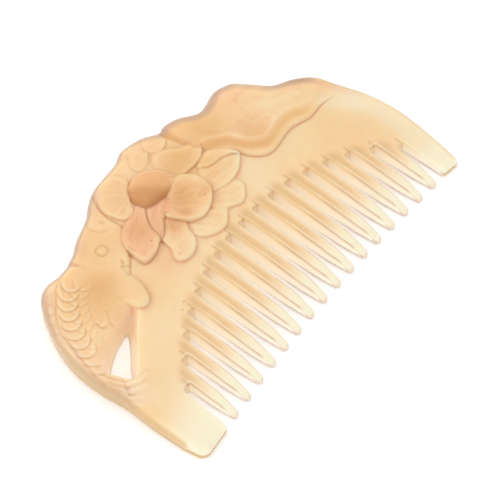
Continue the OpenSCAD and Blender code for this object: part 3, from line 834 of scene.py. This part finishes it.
def carve_head(stone):
    """The gill, the lips, the barbel, a ring round the eye, and the mouth, with painted shade in the
    ring and the mouth.
    """
    groove(stone, [GILL], 0.8, 0.22, 0.12, 3)
    groove(stone, [LIPS], 0.5, 0.16, 0.12, 1.5)
    groove(stone, [BARBEL], 0.22, 0.14, 0.45)
    places, x, y = stone.near([EYE], 3)
    away = (np.abs(x - EYE[0]) ** 3 + np.abs(y - EYE[1]) ** 3) ** (1 / 3)
    ring = bell((away - eye_ring) / 0.28)
    stone.z[places] += 0.12 * bell(away) - 0.2 * ring
    # Painted shade in the ring round the eye.
    stone.stain("painted_shade", eye_ring_shade * ring, places)
    places, x, y = stone.near([MOUTH], 2.5)
    hollow = bell(reach(x, y, MOUTH) / 0.8)
    stone.z[places] -= mouth_deep * hollow
    # Painted shade in the mouth.
    stone.stain("painted_shade", mouth_shade * hollow, places)


def carve_tail(stone):
    """The front fin with its small cross, the rays of the tail, and the tints of the carp."""
    lay_petal(stone, 8.5, 8.1, 0, (-34, 14), 0, 0, FRONT_FIN)
    groove(stone, CROSS, 0.16, 0.12, 0.8)
    groove(stone, TAIL_RAYS, 0.7, -0.32, 0, 3)
    groove(stone, beside(TAIL_RAYS, ray_shift), 0.3, 0.12, 0.2, 4)
    stone.patches(CARP_PATCHES)


drawn_lines += both_sides(spaced(curve(FRONT_FIN), foot_step))
drawn_lines.append(open_line(BACK_FIN, 0.22))
drawn_lines += [open_line(line, small_step) for line in CROSS + SMALL_FINS]
carved_areas.append(curve(CARP, 4))
carving += [carve_carp, carve_head, carve_tail, cut_teeth]

# The comb's body. Front, walls, opening and flat underside are one closed skin, polished all over,
# and painted shade darkens the outer edge and its wall. Points follow the outline, the opening and
# the carved lines, and fill the rest finely where it is carved.
MM = 0.001
fine_step = 0.3
plain_step = 0.8
outer_rings = (0.08, 0.3, 0.7, 1.25, 1.9)
cut_rings = (0.05, 0.16, 0.32, 0.55, 0.85)
hole_rings = (0.07, 0.24, 0.5, 0.9, 1.4)
ring_room = 0.05
drawn_room = 0.1
fill_room = 0.6
area_margin = 1
edge_width = 2.4
edge_drop = 3.2
edge_shade = 5.5
edge_limit = 6
thin_edge = 0.3
corner_limit = 1.3
rim_shade_strength = 0.8
back_edge_shade = 0.9
carp_edge_shade = 0.36
wall_shares = (0.8, 0.6, 0.4, 0.2)
hole_shares = (0.2, 0.4, 0.6, 0.8, 1)
foot_radius = 0.35
thick_foot = 1.8
foot_turns = (0, 30, 60, 90)
foot_glow = 0.2
cavity_rounds = 7
cavity_share = 0.7
cavity_full = 0.085
cavity_margin = 1.5


def hexagons(step):
    """Points an even step apart over the whole comb, every other row shifted."""
    lo, hi = rim.min(axis=0), rim.max(axis=0)
    rows = np.arange(lo[1], hi[1], step * math.sqrt(3) / 2)
    columns = np.arange(lo[0], hi[0], step)
    x = columns[None, :] + np.where(np.arange(len(rows)) % 2, step / 2, 0)[:, None]
    return x.ravel(), np.repeat(rows, len(columns))


def tree_of(points):
    """The points in a tree that finds the nearest one to a place."""
    tree = kdtree.KDTree(len(points))
    for k, (px, py) in enumerate(points):
        tree.insert((px, py, 0), k)
    tree.balance()
    return tree


def fitting(points, tree, clearance):
    """The points inside the stone that keep a distance from its edges and what the tree holds."""
    points = points[within(*points.T, rim) & ~within(*points.T, hole_front)]
    for line, room in ((outer, outer_rings[0]), (cut, cut_rings[-1]), (hole_front, hole_rings[2])):
        points = points[distance(*points.T, line, 1, closed=False) > room + ring_room]
    free = [tree.find((px, py, 0))[2] > clearance for px, py in points]
    return points[np.array(free, bool)]


def triangles(points, hole):
    """Fills the outline with triangles, but not the hole: places, triangles, the points at each."""
    flat = geometry.delaunay_2d_cdt([Vector(p) for p in points], loops, [], 1, 1e-6)
    places, faces = np.array([tuple(v) for v in flat[0]]), np.array(flat[2])
    return places, faces[~within(*places[faces].mean(axis=1).T, hole)], flat[3]


def faces_back(points):
    """How much the wall at some points of the rim faces away from the teeth, from 0 to 1."""
    return ease(-1.4 * into_stone[points, 1] - 0.1)


def round_edge(stone):
    """Rounds the outer edge over and paints shade along it, darker at the back and beside the carp."""
    gap = distance(stone.x, stone.y, outer, edge_limit, closed=False)
    right = ramp(stone.x, 40, 48) * ramp(stone.y, -26, -14)
    size = np.clip(stone.z / field_height, thin_edge, 1) * (1 - 0.5 * right)
    stone.z -= edge_drop * size * (1 - rounded(gap / (edge_width * size)))
    # Painted shade along the outer edge.
    stone.stain("painted_rim_shade", rim_shade_strength * ramp(gap, 1.43, 0.33))
    places = np.flatnonzero(gap < edge_shade)
    gap, x, y = gap[places], stone.x[places], stone.y[places]
    tree = tree_of(outer)
    nearest = [tree.find((px, py, 0))[1] for px, py in zip(x, y)]
    width = 1.5 + 1.1 * ramp(x, 0, 8)
    # Painted shade on the edges that face away from the teeth, and beside the carp.
    stone.stain("painted_dusk_shade", back_edge_shade * faces_back(nearest) * ease(1.5 - gap / width), places)
    beside_carp = np.maximum(ramp(y, -3, 3), ramp(y, -18, -10) * ramp(x, -48, -52))
    beside_carp *= ease(1.5 * into_stone[nearest, 0])
    stone.stain("painted_dusk_shade", carp_edge_shade * beside_carp * ramp(gap, 5.2, 1.2), places)


def round_teeth(stone):
    """Breaks the corners of the cut edge, more at the noses, and paints shade and highlights along the
    teeth's corners.
    """
    across, up = across_tooth(stone.x, stone.y)
    toothed = in_row(stone.x)
    lowest = nose_low + nose_rounding + corner_radius
    stone.z = np.where(toothed, np.maximum(stone.z, lowest), stone.z)
    cut_line = np.vstack([outer[-1:], cut, outer[:1]])
    gap = distance(stone.x, stone.y, cut_line, corner_limit, closed=False)
    radius = corner_radius + nose_rounding * np.clip(1 - up / nose_length, 0, 1)
    stone.z -= radius * (1 - rounded(gap / radius))
    right_side = np.maximum(ramp(across, 0, 0.25), 0.5 * ramp(up, 1.2, 0))
    left_side = across < 0
    # Painted shade along each tooth's right corner, and a painted shade line with a painted highlight
    # beside it along its left corner.
    corner_light_and_shade = [
        ("painted_dusk_shade", 0.8 * ramp(gap, 0.495, 0.045) * right_side * ramp(up, 16, 12)),
        ("painted_tan_shade", ramp(gap, 0.6, 0.1) * right_side * ramp(up, 12, 16)),
        ("painted_dusk_shade", 0.8 * bell((gap - 0.12) / 0.14) * left_side * ramp(up, 2.2, 4.2) * ramp(up, 20, 14)),
        ("pale_and_painted_light", 0.6 * bell((gap - 0.55) / 0.2) * left_side * ramp(up, 4, 7) * ramp(up, 24, 18)),
    ]
    for name, amount in corner_light_and_shade:
        stone.stain(name, np.where(toothed, amount, 0))


def find_hollows(stone):
    """How deep a place lies under the mean of what surrounds it: painted shade for grooves, a painted
    highlight for crests.
    """
    links = np.vstack([faces[:, [0, 1]], faces[:, [1, 2]], faces[:, [2, 0]]])
    links = np.vstack([links, links[:, ::-1]])
    weight = np.bincount(links[:, 0], minlength=len(stone.z))
    mean = stone.z.copy()
    for _ in range(cavity_rounds):
        total = np.bincount(links[:, 0], weights=mean[links[:, 1]], minlength=len(mean))
        mean = (1 - cavity_share) * mean + cavity_share * total / np.maximum(weight, 1)
    cavity = (mean - stone.z) / cavity_full
    inside = 1
    for line in (rim, hole_front):
        inside = inside * ramp(distance(stone.x, stone.y, line, cavity_margin), 0, cavity_margin)
    # Painted shade in the hollows and a painted highlight on the crests.
    stone.stains["hollow"] = np.clip(cavity, 0, 1) * inside
    stone.stains["crest"] = np.clip(-cavity, 0, 1) * inside


def add(name, data):
    """Puts a new object in the scene."""
    made = bpy.data.objects.new(name, data)
    bpy.context.scene.collection.objects.link(made)
    return made


into_stone = leftward(rim)
rings = [rim[on_outer] + offset * into_stone[on_outer] for offset in outer_rings]
rings += [rim[~on_outer] + offset * into_stone[~on_outer] for offset in cut_rings]
rings += [hole_front + offset * hole_away for offset in hole_rings]
fixed = np.vstack([rim, hole_front] + rings)
drawn = fitting(np.vstack(drawn_lines), tree_of(fixed), drawn_room)
placed = tree_of(np.vstack([fixed, drawn]))
fill = []
for step, wanted in ((fine_step, True), (plain_step, False)):
    x, y = hexagons(step)
    fine = (y < tip_line(x) + nose_length) & in_row(x)
    for area in carved_areas:
        fine |= depth_in(x, y, area, 2 * area_margin) > -area_margin
    keep = fine == wanted
    fill.append(fitting(np.stack([x[keep], y[keep]], axis=1), placed, fill_room * step))
plan = np.vstack([fixed, drawn] + fill)
rim_count, hole_end = len(rim), len(rim) + hole_count
loops = [(k, (k + 1) % rim_count) for k in range(rim_count)]
loops += [(k, rim_count + (k + 1 - rim_count) % hole_count) for k in range(rim_count, hole_end)]
place, faces, sources = triangles(plan, hole_front)
new_index = {old: k for k, olds in enumerate(sources) for old in olds}
rim_top = [new_index[k] for k in range(rim_count)]
hole_top = [new_index[k] for k in range(rim_count, hole_end)]

stone = Stone(*place.T)
for work in carving + [round_edge, pierce, round_teeth, find_hollows]:
    work(stone)

# The walls go down from the front in rows, and turn in at the foot to the flat underside.
verts = [np.column_stack([place, stone.z])]
skin = list(faces)
rim_high = stone.z[rim_top]
foot_size = foot_radius + (thick_foot - foot_radius) * ramp(rim_high, 1.7, 3.9) * on_outer
rim_up = rim[:, 1] - tip_line(rim[:, 0])
to_tip = ramp(rim_up, 18, 6)
at_tip = ramp(rim_up, 2.6, 1)
gap_closed = ~on_outer & (into_stone[:, 1] > 0.6) & (np.abs(rim[:, 1] - gap_end(rim[:, 0])) < 1.5)
row_side = np.abs(rim[:, 0] - row_x) < half_row + gap_width / 2 + 0.1
gap_wall = ~on_outer & ~gap_closed & row_side
rim_back = faces_back(slice(None))
steep = hole_away[:, 1] < 0


def wall(top, rows):
    """Joins a ring of the front to rows of points below it, and gives the lowest row."""
    above = top
    for row in rows:
        start = sum(len(v) for v in verts)
        verts.append(row)
        below = list(range(start, start + len(row)))
        for k in range(len(above)):
            n = (k + 1) % len(above)
            skin.append((above[k], below[k], below[n], above[n]))
        above = below
    return above


def rim_light_and_shade(share):
    """The painted light and painted shade of the outer wall and the gaps at a share of their height."""
    low = ramp(share, 1.05, 0.45)
    gap_glow = (0.35 + 0.65 * low) * (1 - 0.5 * at_tip) * (1 if share else foot_glow)
    gap_wall_shade = np.maximum(0.9 * to_tip * ramp(share, 0.3, 0), 0.6 * at_tip)
    outer_wall_shade = np.maximum(0.3 * ramp(share, 0.66, 0.06), 0.6 * rim_back * ramp(share, -0.2, 0.8))
    # Painted light and a painted glow brighten the gap walls, with painted shade near the tips and
    # roots; painted shade darkens the outer wall.
    return {
        "painted_rim_shade": (on_outer | ~row_side) * 1.0,
        "pale_and_painted_light": gap_wall * (0.6 + 0.4 * low) + gap_closed * 0.7,
        "painted_wall_light": gap_wall * (0.25 + 0.75 * to_tip) * low,
        "painted_tan_shade": gap_wall * (1 - to_tip) * ramp(share, 0.35, 0.85) * 0.7 + gap_closed * 0.4,
        "painted_glow": gap_wall * gap_glow + gap_closed * 0.25,
        "painted_dusk_shade": gap_wall * gap_wall_shade + on_outer * outer_wall_shade,
    }


def hole_light_and_shade(share):
    """The painted light and painted shade of the opening's wall, a share of the way down to the
    underside.
    """
    return {
        # Painted light and a painted glow on the wall, painted shade on the slope side and the steep
        # side.
        "pale_and_painted_light": 0.45 + 0.15 * steep,
        "painted_tan_shade": 0.6 * ~steep * (1 - 0.5 * share),
        "painted_rim_shade": 0.25 * steep,
        "painted_glow": 0.3 + 0.2 * ~steep,
    }


rim_rows = [np.column_stack([rim, foot_size + share * (rim_high - foot_size)]) for share in wall_shares]
for turn in np.radians(foot_turns):
    shift = into_stone * (foot_size * (1 - math.cos(turn)))[:, None]
    rim_rows.append(np.column_stack([rim + shift, foot_size * (1 - math.sin(turn))]))
hole_shift = hole_back - hole_front
hole_rows = [
    np.column_stack([hole_front + share * hole_shift, (1 - share) * stone.z[hole_top]])
    for share in hole_shares
]
foot = wall(rim_top, rim_rows) + wall(hole_top, hole_rows)
wall_light_and_shade = [rim_light_and_shade(share) for share in wall_shares + (0,) * len(foot_turns)]
wall_light_and_shade += [hole_light_and_shade(share) for share in hole_shares]

under, sources = triangles(np.vstack([rim_rows[-1][:, :2], hole_back]), hole_back)[1:]
skin += [[foot[sources[k][0]] for k in face[::-1]] for face in under]
mesh = bpy.data.meshes.new("comb")
mesh.from_pydata((np.vstack(verts) * MM).tolist(), [], [tuple(int(k) for k in face) for face in skin])
smooth = np.ones(len(mesh.polygons), bool)
smooth[-len(under):] = False
mesh.polygons.foreach_set("use_smooth", smooth)
for name, amount in stone.stains.items():
    values = [amount]
    for row, stains in zip(rim_rows + hole_rows, wall_light_and_shade):
        values.append(np.zeros(len(row)) + stains.get(name, 0))
    attribute = mesh.attributes.new(name, "FLOAT", "POINT")
    attribute.data.foreach_set("value", np.concatenate(values).astype(np.float32))
mesh.validate()
comb = add("comb", mesh)


class Shade:
    """Wraps one output of a shader node; arithmetic on it adds Math nodes."""

    def __init__(self, tree, socket=None):
        self.tree, self.socket = tree, socket

    def node(self, kind, settings, values, output=0):
        """Adds a node: its settings come first, then values or links for its sockets."""
        made = self.tree.nodes.new(kind)
        for name, value in settings.items():
            setattr(made, name, value)
        for name, value in values.items():
            if isinstance(value, Shade):
                self.tree.links.new(value.socket, made.inputs[name])
            else:
                made.inputs[name].default_value = value
        return Shade(self.tree, made.outputs[output] if made.outputs else None)

    def maths(self, operation, *values):
        """Adds a Math node for one operation."""
        return self.node("ShaderNodeMath", {"operation": operation}, dict(enumerate(values)))

    def clipped(self):
        """The same, kept between 0 and 1."""
        return self.node("ShaderNodeClamp", {}, {0: self})

    def tint(self, colour, full, amount):
        """Goes from a colour to a full tint as the amount goes from 0 to 1."""
        return self.node("ShaderNodeMix", {"data_type": "RGBA"}, {0: amount, 6: colour, 7: full}, 2)

    def __add__(self, other):
        return self.maths("ADD", self, other)

    def __sub__(self, other):
        return self.maths("SUBTRACT", self, other)

    def __rsub__(self, other):
        return self.maths("SUBTRACT", other, self)

    def __mul__(self, other):
        return self.maths("MULTIPLY", self, other)

    __radd__ = __add__
    __rmul__ = __mul__


def paint(red, green, blue):
    """A colour given as it looks, from 0 to 255."""
    return tuple(((c / 255 + 0.055) / 1.055) ** 2.4 for c in (red, green, blue)) + (1,)


BASE = paint(252, 217, 170)
CREAM = paint(254, 240, 218)
HONEY = paint(235, 192, 132)
AMBER = paint(222, 160, 98)
ROSE = paint(240, 178, 142)
SHADE_BROWN = paint(184, 126, 80)
TAN = paint(222, 190, 140)
IVORY = paint(254, 247, 234)
RIM_SHADE_COLOUR = paint(212, 180, 128)
DUSK_SHADE_COLOUR = paint(190, 160, 139)
NO_GLOW = (0, 0, 0, 1)
ROOT_GLOW = (0.13, 0.1, 0.1, 1)
TIP_GLOW = (0.115, 0.085, 0.065, 1)
CREST_HIGHLIGHT = 0.04
PAINTED_SHADE_STRENGTH = 0.43
HOLLOW_SHADE_STRENGTH = 0.1
CLOUDS = {"Scale": 38.0, "Detail": 4.0, "Roughness": 0.55, "Distortion": 0.6}
GRAIN = {"Scale": 420.0, "Detail": 3.0, "Roughness": 0.6}
POLISH = 0.24
POLISH_DRIFT = 0.14
BUMP = {"Strength": 0.08, "Distance": 0.0002}
GLOW_PER_METRE = -70
GLOW_START = 1.3
material = bpy.data.materials.new("honey_chalcedony")
material.use_nodes = True
tree = material.node_tree
tree.nodes.clear()
shade = Shade(tree)
spot = shade.node("ShaderNodeTexCoord", {}, {}, "Object")
clouds = shade.node("ShaderNodeTexNoise", {}, {"Vector": spot, **CLOUDS})
grain = shade.node("ShaderNodeTexNoise", {}, {"Vector": spot, **GRAIN})
stain = {
    name: shade.node("ShaderNodeAttribute", {"attribute_name": name}, {}, "Fac")
    for name in stone.stains
}
drift = (clouds - 0.5) * 0.9 + (grain - 0.5) * 0.25
colour = shade.tint(BASE, HONEY, (drift + 0.02).clipped())
colour = shade.tint(colour, CREAM, (0.05 - drift).clipped())
for name, full in (("honey_and_painted_shade", HONEY), ("rose", ROSE), ("amber_and_painted_shade", AMBER)):
    colour = shade.tint(colour, full, (stain[name] * (1 + drift)).clipped())
# Painted shade, painted light and the stone's pale tint are laid over its colour.
for name, full in (("painted_tan_shade", TAN), ("pale_and_painted_light", CREAM), ("painted_wall_light", IVORY), ("painted_rim_shade", RIM_SHADE_COLOUR), ("painted_dusk_shade", DUSK_SHADE_COLOUR)):
    colour = shade.tint(colour, full, stain[name].clipped())
# A painted highlight on the crests.
colour = shade.tint(colour, CREAM, stain["crest"] * CREST_HIGHLIGHT)
# Painted shade in seams, grooves, pits and hollows.
shade_amount = (stain["painted_shade"] * PAINTED_SHADE_STRENGTH + stain["hollow"] * HOLLOW_SHADE_STRENGTH).clipped()
colour = shade.tint(colour, SHADE_BROWN, shade_amount)
# A painted glow standing in for light through the stone, its colour going from the roots to the tips.
to_tips = shade.node("ShaderNodeSeparateXYZ", {}, {0: spot}, 1) * GLOW_PER_METRE - GLOW_START
full_glow = shade.tint(ROOT_GLOW, TIP_GLOW, to_tips.clipped())
painted_glow = shade.tint(NO_GLOW, full_glow, stain["painted_glow"].clipped())
polish = POLISH + (grain - 0.5) * POLISH_DRIFT
bump = shade.node("ShaderNodeBump", {}, {"Height": grain, **BUMP}, "Normal")
surface = shade.node("ShaderNodeBsdfPrincipled", {"subsurface_method": "RANDOM_WALK"}, {
    "Base Color": colour, "Roughness": polish, "Normal": bump, "IOR": 1.54,
    "Subsurface Weight": 1.0, "Subsurface Scale": 0.0035, "Subsurface Radius": (1.0, 0.85, 0.7),
    "Specular IOR Level": 0.35, "Emission Color": painted_glow, "Emission Strength": 1.0,
})
shade.node("ShaderNodeOutputMaterial", {}, {"Surface": surface})
mesh.materials.append(material)
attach(comb, "root")
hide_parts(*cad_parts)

# The studio. A plain white table, which shines a little itself, stands under wide soft light with
# a small lamp at the left. A long lens looks down on the front of the comb.
FLOOR_HALF = 2.0
FLOOR_WHITE = (0.98, 0.98, 0.98, 1)
FLOOR_ROUGHNESS = 0.8
FLOOR_SHINE = 0.2
WHITE = (1, 1, 1, 1)
SKY_STRENGTH = 0.85
AZIMUTH = math.radians(-52.44)
ELEVATION = math.radians(58.64)
CAMERA_PLACE = (-0.2212, -0.1777, 0.4577)
FOCAL_LENGTH = 148.5
SENSOR_WIDTH = 36
floor_mesh = bpy.data.meshes.new("table")
corners = [(-1, -1), (1, -1), (1, 1), (-1, 1)]
floor_mesh.from_pydata([(FLOOR_HALF * x, FLOOR_HALF * y, 0) for x, y in corners], [], [(0, 1, 2, 3)])
floor = add("table", floor_mesh)
paper = bpy.data.materials.new("white_table")
paper.use_nodes = True
paper_inputs = paper.node_tree.nodes["Principled BSDF"].inputs
paper_inputs["Base Color"].default_value = FLOOR_WHITE
paper_inputs["Roughness"].default_value = FLOOR_ROUGHNESS
paper_inputs["Emission Color"].default_value = WHITE
paper_inputs["Emission Strength"].default_value = FLOOR_SHINE
floor_mesh.materials.append(paper)


def soft_light(name, place, size, power):
    """A square light at a place, turned to the comb."""
    lamp = bpy.data.lights.new(name, "AREA")
    lamp.size = size
    lamp.energy = power
    holder = add(name, lamp)
    holder.location = place
    holder.rotation_euler = Vector(place).to_track_quat("Z", "Y").to_euler()


soft_light("left_light", (-0.58, 0.5, 0.48), 0.08, 0.9)
soft_light("top_light", (0.1, 0.3, 0.9), 0.9, 1.2)
sky = bpy.data.worlds.new("studio")
sky.use_nodes = True
sky_inputs = sky.node_tree.nodes["Background"].inputs
sky_inputs["Color"].default_value = WHITE
sky_inputs["Strength"].default_value = SKY_STRENGTH
bpy.context.scene.world = sky
bpy.context.scene.view_settings.view_transform = "Standard"

lens = bpy.data.cameras.new("camera")
lens.lens = FOCAL_LENGTH
lens.sensor_width = SENSOR_WIDTH
lens.clip_start = 0.01
camera = add("camera", lens)
camera.location = CAMERA_PLACE
camera.rotation_euler = (math.pi / 2 - ELEVATION, 0, AZIMUTH)
bpy.context.scene.camera = camera
